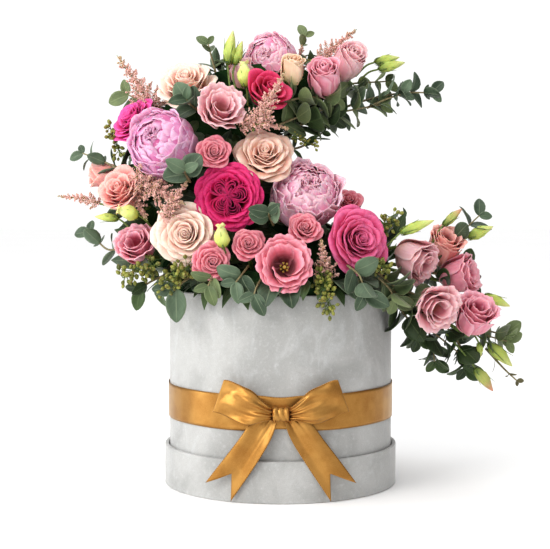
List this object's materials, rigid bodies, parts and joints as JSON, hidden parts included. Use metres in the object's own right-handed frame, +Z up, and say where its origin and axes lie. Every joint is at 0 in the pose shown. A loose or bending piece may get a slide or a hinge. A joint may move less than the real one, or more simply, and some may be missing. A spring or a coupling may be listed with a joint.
{
  "type": "flower box",
  "caption": "Round velvet hat box standing in its lid, tied with a satin bow, with a moon-shaped arrangement of cut flowers and leaves in floral foam.",
  "frame": {"origin": "centre of the lid panel's underside, on the box's upright axis, at the level of the table", "axes": "+Z up the box's axis, the bow faces -Y, and +X is to the right seen from the front, the way the moon opens"},
  "size_m": [0.5234, 0.298, 0.5119],
  "materials": {
    "board": "matt rigid board",
    "velvet": "short crushed pile, pale grey",
    "satin": "gold satin ribbon",
    "film": "clear to milky waterproof film",
    "foam": "wet open-cell floral foam, dark green",
    "stakes": "plain bamboo",
    "leaf": "grey-green waxy leaves",
    "plume": "fluffy salmon florets",
    "petal_blush": "soft petals",
    "petal_peach": "soft petals",
    "petal_cream": "soft petals",
    "petal_lilac": "soft petals",
    "petal_pink": "soft petals",
    "petal_coral": "soft petals",
    "petal_rose": "soft petals",
    "petal_fuchsia": "soft petals"
  },
  "bodies": {
    "lid": {"lid_panel": "board", "lid_wall": "board", "lid_velvet": "velvet"},
    "box": {"box_floor": "board", "box_wall": "board", "box_velvet": "velvet", "ribbon_band": "satin", "bow_knot": "satin", "bow_loop_left": "satin", "bow_loop_right": "satin", "bow_tail_left": "satin", "bow_tail_right": "satin"},
    "insert": {"liner": "film", "foam_base": "foam", "foam_moon": "foam", "stake_left": "stakes", "stake_right": "stakes", "leaf_cover": "leaf", "leaf_collar": "leaf", "peony_left": "petal_lilac", "peony_centre": "petal_blush", "peony_top": "petal_lilac", "rose_fuchsia": "petal_fuchsia", "rose_cream_low": "petal_cream", "rose_cream_mid": "petal_peach", "rose_cream_top": "petal_peach", "rose_pink_right": "petal_rose", "rose_hot_top": "petal_rose", "ranunculus_left": "petal_fuchsia", "rose_peach_left": "petal_peach", "rose_far_left": "petal_pink", "rose_dusty": "petal_coral", "spray_rose_mid": "petal_pink", "spray_rose_low": "petal_pink", "spray_rose_front": "petal_coral", "spray_rose_right": "petal_coral", "lisianthus_open": "petal_pink", "lisianthus_left": "petal_pink", "lisianthus_top": "petal_pink", "rose_blush_top": "petal_blush", "rosebud_cream": "petal_cream", "rosebud_pink": "petal_pink", "rosebud_top_right": "petal_blush", "horn_lisianthus_1": "petal_blush", "horn_lisianthus_2": "petal_coral", "horn_lisianthus_3": "petal_pink", "horn_lisianthus_4": "petal_pink", "horn_lisianthus_5": "petal_pink", "back_peony": "petal_lilac", "back_rose_left": "petal_peach", "back_rose_top": "petal_rose", "back_rose_right": "petal_cream", "astilbe_far_left": "plume", "astilbe_top_left": "plume", "astilbe_left": "plume", "astilbe_centre_top": "plume", "astilbe_top_right": "plume", "eucalyptus_top_right": "leaf", "eucalyptus_low_right": "leaf", "eucalyptus_top": "leaf"}
  },
  "joints": [
    {"name": "box_lift", "type": "slide", "parent": "lid", "child": "box", "axis": [0, 0, 1], "range_m": [0, 0.06]},
    {"name": "insert_lift", "type": "slide", "parent": "box", "child": "insert", "axis": [0, 0, 1], "range_m": [0, 0.22]}
  ]
}
